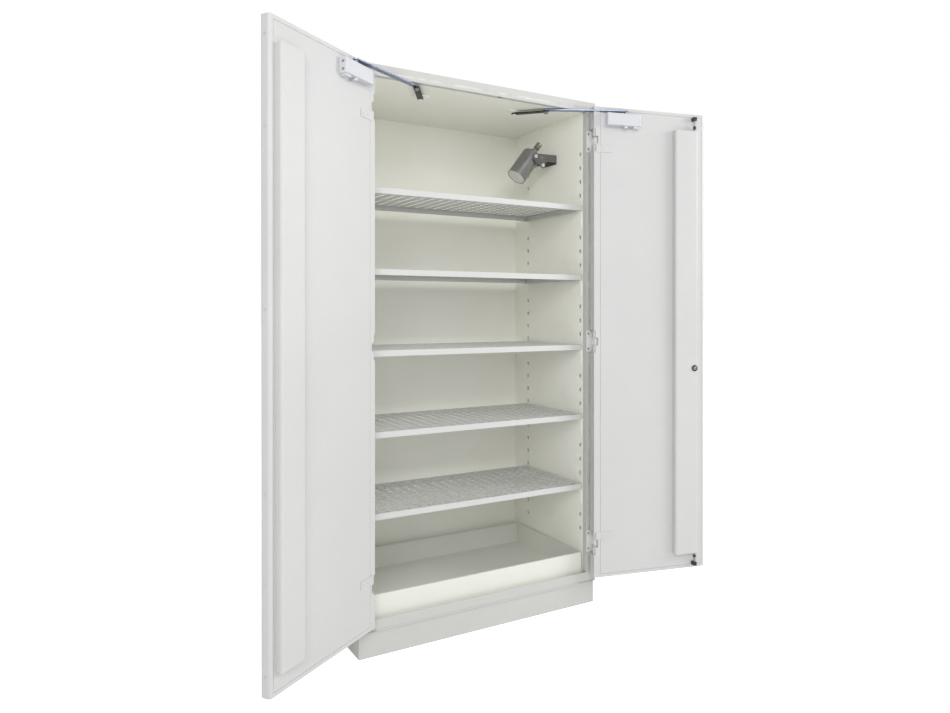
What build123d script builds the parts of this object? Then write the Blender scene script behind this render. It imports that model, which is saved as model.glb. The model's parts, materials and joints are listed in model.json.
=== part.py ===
from build123d import *
import math
import os

os.makedirs("parts", exist_ok=True)

# Driving dimensions, mm. The origin is the centre of the plinth's underside, +Z up, doors on -Y.
WIDTH = 1000.0
DEPTH = 560.0
HEIGHT = 1990.0
HALF = WIDTH / 2
FRONT = -DEPTH / 2
BACK = DEPTH / 2
SHEET = 1.5

PLINTH_H = 85.0
PLINTH_SIDE_INSET = 6.0
PLINTH_FRONT_INSET = 5.0
PLINTH_FLANGE = 14.0
PLINTH_T = 2.0

# Front frame and the opening in it.
OPEN_HALF = 455.0
SILL_Z = 125.0
CEIL_Z = 1952.0
FRAME_D = 20.0
FRAME_FACE_T = 4.5
GROOVE_IN = 12.0
GROOVE_W = 11.0
GROOVE_D = 3.0

# Inner compartment.
FLOOR_Z = 112.0
LINER_BACK_Y = 235.0
HOOK_CAVITY = 10.0

# Slots for the shelf clips.
SLOT_W = 8.0
SLOT_H = 14.0
SLOT_PITCH = 55.5
SLOT_COUNT = 28
SLOT_TOP_Z = 1790.0
SLOT_FRONT_Y = -242.0
SLOT_REAR_Y = 130.0
SLOT_REAR_DROP = 28.0

# Shelves.
SHELF_PITCH = 5 * SLOT_PITCH
SHELF_COUNT = 5
SHELF_TOP_Z = 1562.0
SHELF_H = 20.6
SHELF_T = 1.5
SHELF_HALF = 449.0
SHELF_FRONT_Y = -259.0
SHELF_REAR_Y = 140.0
HOLE_R = 10.5
HOLE_PITCH_X = 40.0
HOLE_PITCH_Y = 35.0
HOLES_X = 22
HOLES_Y = 11
HOLE_FIRST_Y = -242.0

# Sump tray.
TRAY_HALF = 448.0
TRAY_FRONT_Y = -260.0
TRAY_REAR_Y = 212.0
TRAY_TOP_Z = 200.0
TRAY_T = 1.5
REST_GAP = 0.3

# Doors, drawn as the closed left door and swung open afterwards.
DOOR_W = 495.0
DOOR_T = 35.0
DOOR_Z0 = 116.0
DOOR_Z1 = 1963.0
DOOR_GAP = 6.0
DOOR_SKIN = 2.0
EDGE_R = 10.0
RIM = 27.0
RIM_FREE = 14.0
RIM_END = 12.0
HINGE_EDGE_X = -497.0
DOOR_INNER_Y = FRONT - DOOR_GAP
PIVOT_X = 480.0
PIVOT_Y = -308.0
OPEN_LEFT = 146.2
OPEN_RIGHT = 166.5

# Hinges.
HINGE_Z = (249.0, 1042.0, 1833.0)
NOTCH_H = 90.0
NOTCH_U = 29.0
NOTCH_W = 13.0
SLIT_H = 30.0
SLIT_U = 17.5
CORNER_H = 86.0
CORNER_U = 6.5
CORNER_W = 5.0
KNUCKLE_R = 8.0
PIN_R = 4.0
RUNNING_FIT = 0.05
BARREL_H = 84.0
LEAF_T = 3.0

# Covers over the lock gear.
COVER_Z0 = 180.0
COVER_Z1 = 1890.0
COVER_PROUD = 22.0
COVER_T = 1.5
COVER_R = 8.0
COVER_LEFT_U = (370.0, 472.0)
COVER_RIGHT_U = (348.0, 452.0)

# Lock gear on the right door.
ROD_U = 440.0
ROD_W = 14.0
ROD_R = 3.2
LOCK_U = 435.0
LOCK_Z = 930.0
LOCK_END_R = 12.5
GUIDE_H = 14.0
GUIDE_HALF_U = 6.5
GUIDE_T = 21.0

# Overhead closers.
BODY_U0 = 46.0
BODY_U1 = 190.0
BODY_Z0 = 1889.0
BODY_Z1 = 1937.0
BODY_PROUD = 28.0
SPINDLE_U = 128.0
SPINDLE_W = 18.0
SPINDLE_R = 6.0
ARM_W = 22.0
ARM_T = 4.5
ARM_Z = 1944.6
FOREARM_Z = 1939.4
MAIN_ARM = 317.0
FOREARM = 128.0
SHOE_X = 205.0
SHOE_Y = -142.0
SHOE_PIN_R = 4.0
RELIEF_U = 106.0
RELIEF_DEPTH = 26.5
RELIEF_Z0 = 1943.4
RELIEF_Z1 = 1950.4

# Canister of the built-in extinguisher.
CAN_Y = -38.0
CAN_TILT = 38.0
CAN_R = 40.0
CAN_LENGTH = 132.0
CAN_FACE_X = 282.0
CAN_FACE_Z = 1716.0
CAN_PIVOT_ALONG = 107.0


def u_x(u):
    """X of a distance u from the hinge edge of the closed left door."""
    return HINGE_EDGE_X + u


def w_y(w):
    """Y of a height w above the inner face of the closed left door."""
    return DOOR_INNER_Y + w


def block(x0, x1, y0, y1, z0, z1, mode=Mode.ADD):
    """A rectangular prism between two corners, drawn as a sketch and extruded up."""
    with BuildSketch(Plane.XY.offset(z0)) as base:
        with Locations(((x0 + x1) / 2, (y0 + y1) / 2)):
            Rectangle(x1 - x0, y1 - y0)
    extrude(base.sketch, amount=z1 - z0, mode=mode)


def disc(x, y, radius, z0, z1, mode=Mode.ADD):
    """An upright cylinder."""
    with BuildSketch(Plane.XY.offset(z0)) as base:
        with Locations((x, y)):
            Circle(radius)
    extrude(base.sketch, amount=z1 - z0, mode=mode)


def save(shape, label):
    """Name a piece and write it to its own file."""
    shape.label = label
    export_step(shape, "parts/" + label + ".step")


def hang(shape, side):
    """Swing a piece drawn on the closed left door to where that door, or the right one, stands open."""
    if side == "left":
        return shape.rotate(Axis((-PIVOT_X, PIVOT_Y, 0), (0, 0, 1)), -OPEN_LEFT)
    return shape.mirror(Plane.YZ).rotate(Axis((PIVOT_X, PIVOT_Y, 0), (0, 0, 1)), OPEN_RIGHT)


def flat_panel(label, x0, x1, y0, y1, z0, z1):
    """A plain sheet or board."""
    with BuildPart() as panel:
        block(x0, x1, y0, y1, z0, z1)
    save(panel.part, label)


# ---------------------------------------------------------------- plinth
PLINTH_X = HALF - PLINTH_SIDE_INSET
PLINTH_Y0 = FRONT + PLINTH_FRONT_INSET
PLINTH_Y1 = BACK - PLINTH_FRONT_INSET

with BuildPart() as plinth:
    block(-PLINTH_X, PLINTH_X, PLINTH_Y0, PLINTH_Y1, 0, PLINTH_H)
    block(-PLINTH_X + PLINTH_T, PLINTH_X - PLINTH_T, PLINTH_Y0 + PLINTH_T, PLINTH_Y1 - PLINTH_T,
          PLINTH_T, PLINTH_H - PLINTH_T, mode=Mode.SUBTRACT)
    block(-PLINTH_X + PLINTH_FLANGE, PLINTH_X - PLINTH_FLANGE, PLINTH_Y0 + PLINTH_FLANGE,
          PLINTH_Y1 - PLINTH_FLANGE, 0, PLINTH_H, mode=Mode.SUBTRACT)
save(plinth.part, "plinth")

# ---------------------------------------------------------------- outer casing
flat_panel("outer_bottom", -HALF, HALF, FRONT, BACK, PLINTH_H, PLINTH_H + SHEET)
flat_panel("outer_top", -HALF, HALF, FRONT, BACK, HEIGHT - SHEET, HEIGHT)
CASE_Z0 = PLINTH_H + SHEET
CASE_Z1 = HEIGHT - SHEET
CASE_X = HALF - SHEET
CASE_Y1 = BACK - SHEET
with BuildPart() as outer_sides:
    block(-HALF, -CASE_X, FRONT, BACK, CASE_Z0, CASE_Z1)
    block(CASE_X, HALF, FRONT, BACK, CASE_Z0, CASE_Z1)
save(outer_sides.part, "outer_sides")
flat_panel("outer_back", -CASE_X, CASE_X, CASE_Y1, BACK, CASE_Z0, CASE_Z1)

# ---------------------------------------------------------------- front frame
FRAME_Y1 = FRONT + FRAME_D
GROOVE_X0 = OPEN_HALF + GROOVE_IN
GROOVE_X1 = GROOVE_X0 + GROOVE_W

with BuildPart() as stile:
    block(OPEN_HALF, CASE_X, FRONT, FRAME_Y1, SILL_Z, CEIL_Z)
    block(OPEN_HALF + SHEET, CASE_X - SHEET, FRONT + FRAME_FACE_T, FRAME_Y1 - SHEET,
          SILL_Z, CEIL_Z, mode=Mode.SUBTRACT)
    block(GROOVE_X0, GROOVE_X1, FRONT, FRONT + GROOVE_D, SILL_Z, CEIL_Z, mode=Mode.SUBTRACT)
save(Part() + [stile.part, stile.part.mirror(Plane.YZ)], "frame_stiles")

TOP_GROOVE_Z = 1961.0
TOP_GROOVE_H = 8.0
KEEP_X = -u_x(ROD_U)
KEEP_Y = w_y(ROD_W)
KEEP_R = 7.0
with BuildPart() as frame_top_rail:
    block(-CASE_X, CASE_X, FRONT, FRAME_Y1, CEIL_Z, CASE_Z1)
    block(-CASE_X, CASE_X, FRONT + FRAME_FACE_T, FRAME_Y1 - SHEET, CEIL_Z + SHEET, CASE_Z1 - SHEET,
          mode=Mode.SUBTRACT)
    block(-CASE_X, CASE_X, FRONT, FRONT + GROOVE_D, TOP_GROOVE_Z, TOP_GROOVE_Z + TOP_GROOVE_H,
          mode=Mode.SUBTRACT)
    disc(KEEP_X, KEEP_Y, KEEP_R, CEIL_Z - 1, CEIL_Z + 2 * SHEET, mode=Mode.SUBTRACT)
save(frame_top_rail.part, "frame_top_rail")

SILL_T = 4.0
SILL_GROOVE_Z = 91.0
BASE_NOTCH_H = 4.0
BASE_NOTCH_X = ((-476.0, -434.0), (424.0, 489.0))
with BuildPart() as frame_bottom_rail:
    block(-CASE_X, CASE_X, FRONT, FRONT + SILL_T, CASE_Z0, SILL_Z)
    block(-CASE_X, CASE_X, FRONT, FRONT + 1, SILL_GROOVE_Z, SILL_GROOVE_Z + 2, mode=Mode.SUBTRACT)
    for notch_x0, notch_x1 in BASE_NOTCH_X:
        block(notch_x0, notch_x1, FRONT, FRONT + SILL_T, CASE_Z0, CASE_Z0 + BASE_NOTCH_H, mode=Mode.SUBTRACT)
save(frame_bottom_rail.part, "frame_bottom_rail")

with BuildPart() as fire_seals:
    block(-GROOVE_X1, -GROOVE_X0, FRONT + 0.5, FRONT + GROOVE_D, SILL_Z, CEIL_Z)
    block(GROOVE_X0, GROOVE_X1, FRONT + 0.5, FRONT + GROOVE_D, SILL_Z, CEIL_Z)
    block(-GROOVE_X0, GROOVE_X0, FRONT + 0.5, FRONT + GROOVE_D, TOP_GROOVE_Z, TOP_GROOVE_Z + TOP_GROOVE_H)
save(fire_seals.part, "fire_seals")

# ---------------------------------------------------------------- inner compartment
LINER_Z1 = CEIL_Z + SHEET
LINER_Z0 = FLOOR_Z - SHEET

with BuildPart() as liner_side:
    with BuildSketch(Plane.YZ.offset(OPEN_HALF)):
        with Locations(((FRAME_Y1 + LINER_BACK_Y) / 2, (LINER_Z0 + LINER_Z1) / 2)):
            Rectangle(LINER_BACK_Y - FRAME_Y1, LINER_Z1 - LINER_Z0)
        for column_y, drop in ((SLOT_FRONT_Y, 0), (SLOT_REAR_Y, SLOT_REAR_DROP)):
            slot_mid = SLOT_TOP_Z - drop - SLOT_PITCH * (SLOT_COUNT - 1) / 2
            with Locations((column_y, slot_mid)):
                with GridLocations(1, SLOT_PITCH, 1, SLOT_COUNT):
                    Rectangle(SLOT_W, SLOT_H, mode=Mode.SUBTRACT)
    extrude(amount=SHEET)
save(Part() + [liner_side.part, liner_side.part.mirror(Plane.YZ)], "liner_sides")

flat_panel("liner_back", -OPEN_HALF - SHEET, OPEN_HALF + SHEET, LINER_BACK_Y, LINER_BACK_Y + SHEET,
           LINER_Z0, LINER_Z1)
flat_panel("liner_ceiling", -OPEN_HALF, OPEN_HALF, FRAME_Y1, LINER_BACK_Y, CEIL_Z, LINER_Z1)
flat_panel("liner_floor", -OPEN_HALF, OPEN_HALF, FRONT + SILL_T, LINER_BACK_Y, LINER_Z0, FLOOR_Z)

BOARD_X0 = OPEN_HALF + HOOK_CAVITY
BOARD_GAP = 0.5
with BuildPart() as insulation:
    block(-CASE_X, -BOARD_X0, FRAME_Y1, LINER_BACK_Y + SHEET, LINER_Z0, LINER_Z1 - BOARD_GAP)
    block(BOARD_X0, CASE_X, FRAME_Y1, LINER_BACK_Y + SHEET, LINER_Z0, LINER_Z1 - BOARD_GAP)
    block(-CASE_X, CASE_X, LINER_BACK_Y + SHEET + BOARD_GAP, CASE_Y1, LINER_Z0, LINER_Z1 - BOARD_GAP)
    block(-CASE_X, CASE_X, FRAME_Y1, CASE_Y1, LINER_Z1, CASE_Z1)
    block(-CASE_X, CASE_X, FRONT + SILL_T, CASE_Y1, CASE_Z0, LINER_Z0 - BOARD_GAP)
save(insulation.part, "insulation")

# ---------------------------------------------------------------- shelf clips
CLIP_T = 1.5
CLIP_LEDGE = 13.0
CLIP_HALF = 9.0
HOOK_HALF = 3.0
HOOK_REACH = 7.0
HOOK_DROP = 9.0


def clip(side, y, slot_z, ledge_z):
    """One clip: a plate on the liner, a ledge under the shelf and a hook through the slot."""
    x_wall = side * OPEN_HALF
    x_plate = side * (OPEN_HALF - CLIP_T)
    x_ledge = side * (OPEN_HALF - CLIP_LEDGE)
    x_tail = side * (OPEN_HALF + HOOK_REACH)
    x_hook = side * (OPEN_HALF + HOOK_REACH - 3)
    block(min(x_wall, x_plate), max(x_wall, x_plate), y - CLIP_HALF, y + CLIP_HALF,
          min(slot_z, ledge_z) - 9, max(slot_z + 9, ledge_z))
    block(min(x_wall, x_ledge), max(x_wall, x_ledge), y - CLIP_HALF, y + CLIP_HALF,
          ledge_z - CLIP_T, ledge_z)
    block(min(x_wall, x_tail), max(x_wall, x_tail), y - HOOK_HALF, y + HOOK_HALF,
          slot_z - 4, slot_z + 4)
    block(min(x_hook, x_tail), max(x_hook, x_tail), y - HOOK_HALF, y + HOOK_HALF,
          slot_z - HOOK_DROP - 4, slot_z + 4)


shelf_levels = [SHELF_TOP_Z - i * SHELF_PITCH for i in range(SHELF_COUNT)]


def nearest_slot(level, drop):
    """The height of the slot just under a shelf in one column."""
    steps = math.ceil((SLOT_TOP_Z - drop - level + SLOT_H / 2) / SLOT_PITCH)
    return SLOT_TOP_Z - drop - steps * SLOT_PITCH


with BuildPart() as shelf_clips:
    for level in shelf_levels:
        for side in (-1, 1):
            clip(side, SLOT_FRONT_Y, nearest_slot(level, 0), level - REST_GAP)
            clip(side, SLOT_REAR_Y, nearest_slot(level, SLOT_REAR_DROP), level - REST_GAP)
save(shelf_clips.part, "shelf_clips")

# ---------------------------------------------------------------- shelves
SHELF_MID_Y = (SHELF_FRONT_Y + SHELF_REAR_Y) / 2
SHELF_LEN_Y = SHELF_REAR_Y - SHELF_FRONT_Y
HEM = 14.0
HOLE_MID_Y = HOLE_FIRST_Y + HOLE_PITCH_Y * (HOLES_Y - 1) / 2

with BuildPart() as shelf:
    with BuildSketch(Plane.XY.offset(SHELF_H - SHELF_T)):
        with Locations((0, SHELF_MID_Y)):
            Rectangle(2 * SHELF_HALF, SHELF_LEN_Y)
        with Locations((0, HOLE_MID_Y)):
            with GridLocations(HOLE_PITCH_X, HOLE_PITCH_Y, HOLES_X, HOLES_Y):
                Circle(HOLE_R, mode=Mode.SUBTRACT)
    extrude(amount=SHELF_T)
    block(-SHELF_HALF, SHELF_HALF, SHELF_FRONT_Y, SHELF_FRONT_Y + SHELF_T, 0, SHELF_H)
    block(-SHELF_HALF, SHELF_HALF, SHELF_REAR_Y - SHELF_T, SHELF_REAR_Y, 0, SHELF_H)
    block(-SHELF_HALF, -SHELF_HALF + SHELF_T, SHELF_FRONT_Y, SHELF_REAR_Y, 0, SHELF_H)
    block(SHELF_HALF - SHELF_T, SHELF_HALF, SHELF_FRONT_Y, SHELF_REAR_Y, 0, SHELF_H)
    block(-SHELF_HALF + 16, SHELF_HALF - 16, SHELF_FRONT_Y, SHELF_FRONT_Y + HEM, 0, SHELF_T)
    fillet(shelf.edges().filter_by(Axis.X).group_by(Axis.Z)[-1].sort_by(Axis.Y)[0], 1.2)
for index, level in enumerate(shelf_levels):
    save(shelf.part.moved(Location((0, 0, level))), "shelf_" + str(index + 1))

# ---------------------------------------------------------------- sump tray
TRAY_Z0 = FLOOR_Z + REST_GAP
TRAY_RIM = 9.0
with BuildPart() as sump_tray:
    block(-TRAY_HALF, TRAY_HALF, TRAY_FRONT_Y, TRAY_REAR_Y, TRAY_Z0, TRAY_TOP_Z)
    fillet(sump_tray.edges().filter_by(Axis.Z), 4)
    fillet(sump_tray.faces().sort_by(Axis.Z)[0].edges(), 3)
    offset(amount=-TRAY_T, openings=sump_tray.faces().sort_by(Axis.Z)[-1])
    block(-TRAY_HALF + TRAY_RIM, TRAY_HALF - TRAY_RIM, TRAY_FRONT_Y, TRAY_FRONT_Y + TRAY_RIM,
          TRAY_TOP_Z - TRAY_T, TRAY_TOP_Z)
    block(-TRAY_HALF + TRAY_RIM, TRAY_HALF - TRAY_RIM, TRAY_REAR_Y - TRAY_RIM, TRAY_REAR_Y,
          TRAY_TOP_Z - TRAY_T, TRAY_TOP_Z)
save(sump_tray.part, "sump_tray")

# ---------------------------------------------------------------- doors
def lock_bore():
    """The hole for the handle's spindle, straight through a door."""
    with BuildPart() as bore:
        with BuildSketch(Plane.XZ.offset(-w_y(1))):
            with Locations((u_x(LOCK_U), LOCK_Z)):
                Circle(SPINDLE_HOLE_R)
        extrude(amount=DOOR_T + 2)
    return bore.part


def door_blank(inset, wall):
    """The door's volume, with a rounded free edge, drawn in by an inset.

    Four kinds of cut are left out of it, each grown by a wall: the pockets for the hinge barrels,
    open to the outside, the slits for the fixed knuckles, the corners that pass the fixed leaves,
    and the slot that takes the closer's arm.
    """
    with BuildPart() as blank:
        with BuildSketch(Plane.XY.offset(DOOR_Z0 + inset)) as plan:
            with Locations((u_x(DOOR_W / 2), w_y(-DOOR_T / 2))):
                Rectangle(DOOR_W - 2 * inset, DOOR_T - 2 * inset)
            fillet(plan.vertices().group_by(Axis.X)[-1], EDGE_R - inset)
        extrude(amount=DOOR_Z1 - DOOR_Z0 - 2 * inset)
        for z in HINGE_Z:
            block(u_x(-1), u_x(NOTCH_U + wall), w_y(-DOOR_T - 1), w_y(-NOTCH_W + wall),
                  z - NOTCH_H / 2 - wall, z + NOTCH_H / 2 + wall, mode=Mode.SUBTRACT)
            block(u_x(-1), u_x(SLIT_U + wall), w_y(-DOOR_T / 2), w_y(1),
                  z - SLIT_H / 2 - wall, z + SLIT_H / 2 + wall, mode=Mode.SUBTRACT)
            block(u_x(-1), u_x(CORNER_U + wall), w_y(-CORNER_W - wall), w_y(1),
                  z - CORNER_H / 2 - wall, z + CORNER_H / 2 + wall, mode=Mode.SUBTRACT)
        block(u_x(-1), u_x(RELIEF_U + wall), w_y(-RELIEF_DEPTH - wall), w_y(1),
              RELIEF_Z0 - wall, RELIEF_Z1 + wall, mode=Mode.SUBTRACT)
    return blank.part


PANEL_U0 = RIM
PANEL_U1 = DOOR_W - RIM_FREE
PANEL_GAP = 1.0
SPINDLE_HOLE_R = 7.0
BOARD_FIT = 0.5


def door_pan(spindle):
    """Outer sheet of a door, folded round to a narrow rim on the inner face."""
    with BuildPart() as pan:
        add(door_blank(0, 0))
        add(door_blank(DOOR_SKIN, DOOR_SKIN), mode=Mode.SUBTRACT)
        block(u_x(PANEL_U0), u_x(PANEL_U1), w_y(-DOOR_SKIN - BOARD_FIT), w_y(1),
              DOOR_Z0 + RIM_END, DOOR_Z1 - RIM_END, mode=Mode.SUBTRACT)
        # The slot for the closer's arm keeps its own walls where the rim is cut away for the panel.
        block(u_x(PANEL_U0 - DOOR_SKIN), u_x(RELIEF_U + DOOR_SKIN), w_y(-RELIEF_DEPTH), w_y(0),
              RELIEF_Z0 - DOOR_SKIN, RELIEF_Z1 + DOOR_SKIN)
        block(u_x(-1), u_x(RELIEF_U), w_y(-RELIEF_DEPTH), w_y(1), RELIEF_Z0, RELIEF_Z1, mode=Mode.SUBTRACT)
        if spindle:
            add(lock_bore(), mode=Mode.SUBTRACT)
    return pan.part


def door_panel(spindle):
    """Inner sheet of a door."""
    with BuildPart() as panel:
        block(u_x(PANEL_U0 + PANEL_GAP), u_x(PANEL_U1 - PANEL_GAP), w_y(-DOOR_SKIN), w_y(0),
              DOOR_Z0 + RIM_END + PANEL_GAP, DOOR_Z1 - RIM_END - PANEL_GAP)
        block(u_x(0), u_x(RELIEF_U + DOOR_SKIN + PANEL_GAP), w_y(-DOOR_SKIN - 1), w_y(1),
              RELIEF_Z0 - DOOR_SKIN - PANEL_GAP, DOOR_Z1, mode=Mode.SUBTRACT)
        if spindle:
            add(lock_bore(), mode=Mode.SUBTRACT)
    return panel.part


def door_board(spindle):
    """Fire-resistant filling between the two sheets of a door."""
    with BuildPart() as board:
        add(door_blank(DOOR_SKIN + BOARD_FIT, DOOR_SKIN + BOARD_FIT))
        if spindle:
            add(lock_bore(), mode=Mode.SUBTRACT)
    return board.part


def lock_cover(u0, u1, rods):
    """Long hollow cover with rounded edges over the lock gear on a door's inner face."""
    with BuildPart() as cover:
        block(u_x(u0), u_x(u1), w_y(0), w_y(COVER_PROUD), COVER_Z0, COVER_Z1)
        fillet(cover.faces().sort_by(Axis.Y)[-1].edges().filter_by(Axis.Z), COVER_R)
        offset(amount=-COVER_T, openings=cover.faces().sort_by(Axis.Y)[0])
        if rods:
            disc(u_x(ROD_U), w_y(ROD_W), ROD_R + 1, COVER_Z0 - 1, COVER_Z0 + 2 * COVER_T, mode=Mode.SUBTRACT)
            disc(u_x(ROD_U), w_y(ROD_W), ROD_R + 1, COVER_Z1 - 2 * COVER_T, COVER_Z1 + 1, mode=Mode.SUBTRACT)
            with BuildSketch(Plane.XZ.offset(-w_y(COVER_PROUD) - 1)) as bore:
                with Locations((u_x(LOCK_U), LOCK_Z)):
                    Circle(SPINDLE_HOLE_R)
            extrude(bore.sketch, amount=2 * COVER_T + 1, mode=Mode.SUBTRACT)
    return cover.part


for side, cover_u in (("left", COVER_LEFT_U), ("right", COVER_RIGHT_U)):
    save(hang(door_pan(side == "right"), side), "door_pan_" + side)
    save(hang(door_panel(side == "right"), side), "door_panel_" + side)
    save(hang(door_board(side == "right"), side), "door_board_" + side)
    save(hang(lock_cover(cover_u[0], cover_u[1], side == "right"), side), "lock_cover_" + side)

# Plugs in the free edge of each door.
PLUG_PITCH = 248.0
PLUG_COUNT = 8
PLUG_R = 4.0
PLUG_T = 1.2
PLUG_Z0 = 173.0
with BuildPart() as edge_plugs:
    for index in range(PLUG_COUNT):
        with BuildSketch(Plane.YZ.offset(u_x(DOOR_W))):
            with Locations((w_y(-DOOR_T / 2), PLUG_Z0 + index * PLUG_PITCH)):
                Circle(PLUG_R)
        extrude(amount=PLUG_T)
save(hang(edge_plugs.part, "left"), "edge_plugs_left")

# ---------------------------------------------------------------- hinges
FIXED_KNUCKLE_H = BARREL_H / 3 - 0.3
LEAF_X0 = -PIVOT_X - 10
LEAF_X1 = -OPEN_HALF - 2
GAP_Y = FRONT - LEAF_T
ARM_X0 = 8.0
ARM_X1 = 2.0
LEAF_SCREW_X = -464.0
LEAF_SCREW_R = 2.6


def hinge_frame_leaf():
    """Leaves screwed to the stile, each with an arm to the middle knuckle."""
    with BuildPart() as leaf:
        for z in HINGE_Z:
            z0 = z - FIXED_KNUCKLE_H / 2
            z1 = z + FIXED_KNUCKLE_H / 2
            block(LEAF_X0, LEAF_X1, GAP_Y, FRONT, z - BARREL_H / 2, z + BARREL_H / 2)
            block(-PIVOT_X - ARM_X0, -PIVOT_X - ARM_X1, PIVOT_Y, GAP_Y + 1, z0, z1)
            disc(-PIVOT_X, PIVOT_Y, KNUCKLE_R, z0, z1)
            disc(-PIVOT_X, PIVOT_Y, PIN_R + RUNNING_FIT, z0 - 1, z1 + 1, mode=Mode.SUBTRACT)
            with BuildSketch(Plane.XZ.offset(-FRONT)) as holes:
                with Locations((LEAF_SCREW_X, z)):
                    with GridLocations(1, 60, 1, 2):
                        Circle(LEAF_SCREW_R)
            extrude(holes.sketch, amount=LEAF_T, mode=Mode.SUBTRACT)
    return leaf.part


def hinge_door_leaf():
    """Knuckles at the ends of each barrel, on a plate that closes the notch's inner wall."""
    with BuildPart() as leaf:
        for z in HINGE_Z:
            x_wall = u_x(NOTCH_U)
            block(x_wall - LEAF_T, x_wall, w_y(-DOOR_T + LEAF_T), w_y(-NOTCH_W),
                  z - BARREL_H / 2, z + BARREL_H / 2)
            for sign in (-1, 1):
                a = z + sign * (FIXED_KNUCKLE_H / 2 + 0.3)
                b = z + sign * BARREL_H / 2
                z0 = min(a, b)
                z1 = max(a, b)
                block(-PIVOT_X, x_wall - LEAF_T, PIVOT_Y - 3, PIVOT_Y + 3, z0, z1)
                disc(-PIVOT_X, PIVOT_Y, KNUCKLE_R, z0, z1)
                disc(-PIVOT_X, PIVOT_Y, PIN_R + RUNNING_FIT, z0 - 1, z1 + 1, mode=Mode.SUBTRACT)
    return leaf.part


def hinge_pin():
    """Pins with a flat head on top."""
    with BuildPart() as pin:
        for z in HINGE_Z:
            disc(-PIVOT_X, PIVOT_Y, PIN_R, z - BARREL_H / 2, z + BARREL_H / 2 + 0.3)
            disc(-PIVOT_X, PIVOT_Y, PIN_R + 2, z + BARREL_H / 2 + 0.3, z + BARREL_H / 2 + 2.2)
    return pin.part


frame_leaf = hinge_frame_leaf()
pins = hinge_pin()
save(Part() + [frame_leaf, frame_leaf.mirror(Plane.YZ)], "hinge_frame_leaves")
save(Part() + [pins, pins.mirror(Plane.YZ)], "hinge_pins")
for side in ("left", "right"):
    save(hang(hinge_door_leaf(), side), "hinge_door_leaf_" + side)

# ---------------------------------------------------------------- claw plates at the hinge side
CLAW_LEVELS = (280.0, 1798.0)
CLAW_T = 2.3
CLAW_LUG_T = 1.5
CLAW_HALF = 13.0
CLAW_LUG_HALF = 16.0
CLAW_LUG_U = (10.0, 24.0)
CLAW_PLATE_U = (30.0, 80.0)
CLAW_SCREW_U = 56.0
CLAW_SCREW_PITCH = 24.0
CLAW_SCREW_R = 3.2
with BuildPart() as claw_plates:
    for z in CLAW_LEVELS:
        block(u_x(CLAW_PLATE_U[0]), u_x(CLAW_PLATE_U[1]), w_y(0), w_y(CLAW_T),
              z - CLAW_HALF, z + CLAW_HALF)
        block(u_x(CLAW_LUG_U[0]), u_x(CLAW_LUG_U[1]), w_y(0), w_y(CLAW_LUG_T),
              z - CLAW_LUG_HALF, z + CLAW_LUG_HALF)
        block(u_x(CLAW_LUG_U[1]), u_x(CLAW_PLATE_U[0]), w_y(0), w_y(CLAW_LUG_T),
              z - CLAW_HALF, z + CLAW_HALF)
        with BuildSketch(Plane.XZ.offset(-w_y(CLAW_T))):
            with Locations((u_x(CLAW_SCREW_U), z)):
                with GridLocations(CLAW_SCREW_PITCH, 1, 2, 1):
                    Circle(CLAW_SCREW_R)
        extrude(amount=-1)
for side in ("left", "right"):
    save(hang(claw_plates.part, side), "claw_plates_" + side)

# ---------------------------------------------------------------- lock gear, on the right door only
CASE_U0 = 390.0
CASE_U1 = 446.5
CASE_WALL = 2.0
CASE_W1 = COVER_PROUD - COVER_T - 1.0
CASE_H = 90.0
STOP_Z0 = 1899.0
STOP_Z1 = 1911.0
BALL_Z = 166.0
BALL_R = 6.0
UPPER_ROD_Z0 = LOCK_Z + 20
UPPER_ROD_Z1 = 1949.0
LOWER_ROD_Z0 = 128.5
LOWER_ROD_Z1 = LOCK_Z - 20
BUSH_R = 5.05

with BuildPart() as lock_case:
    block(u_x(CASE_U0), u_x(CASE_U1), w_y(0), w_y(CASE_W1), LOCK_Z - CASE_H, LOCK_Z + CASE_H)
    block(u_x(CASE_U0 + CASE_WALL), u_x(CASE_U1 - CASE_WALL), w_y(CASE_WALL), w_y(CASE_W1 - 1.5),
          LOCK_Z - CASE_H + CASE_WALL, LOCK_Z + CASE_H - CASE_WALL, mode=Mode.SUBTRACT)
    disc(u_x(ROD_U), w_y(ROD_W), ROD_R + 0.6, LOCK_Z - CASE_H - 1, LOCK_Z + CASE_H + 1, mode=Mode.SUBTRACT)
    with BuildSketch(Plane.XZ.offset(-w_y(CASE_W1) - 1)):
        with Locations((u_x(LOCK_U), LOCK_Z)):
            Circle(SPINDLE_HOLE_R)
    extrude(amount=CASE_W1 + 2, mode=Mode.SUBTRACT)
save(hang(lock_case.part, "right"), "lock_case")

# Rose on the outer face, the bearing of the handle's spindle.
ROSE_R = 24.0
ROSE_T = 8.0
with BuildPart() as lock_rose:
    with BuildSketch(Plane.XZ.offset(-w_y(-DOOR_T))):
        with Locations((u_x(LOCK_U), LOCK_Z)):
            Circle(ROSE_R)
            Circle(BUSH_R, mode=Mode.SUBTRACT)
    extrude(amount=ROSE_T)
    fillet(lock_rose.edges().filter_by(GeomType.CIRCLE).group_by(Axis.Y)[0].sort_by(SortBy.RADIUS)[-1], 2)
save(hang(lock_rose.part, "right"), "lock_rose")

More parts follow.
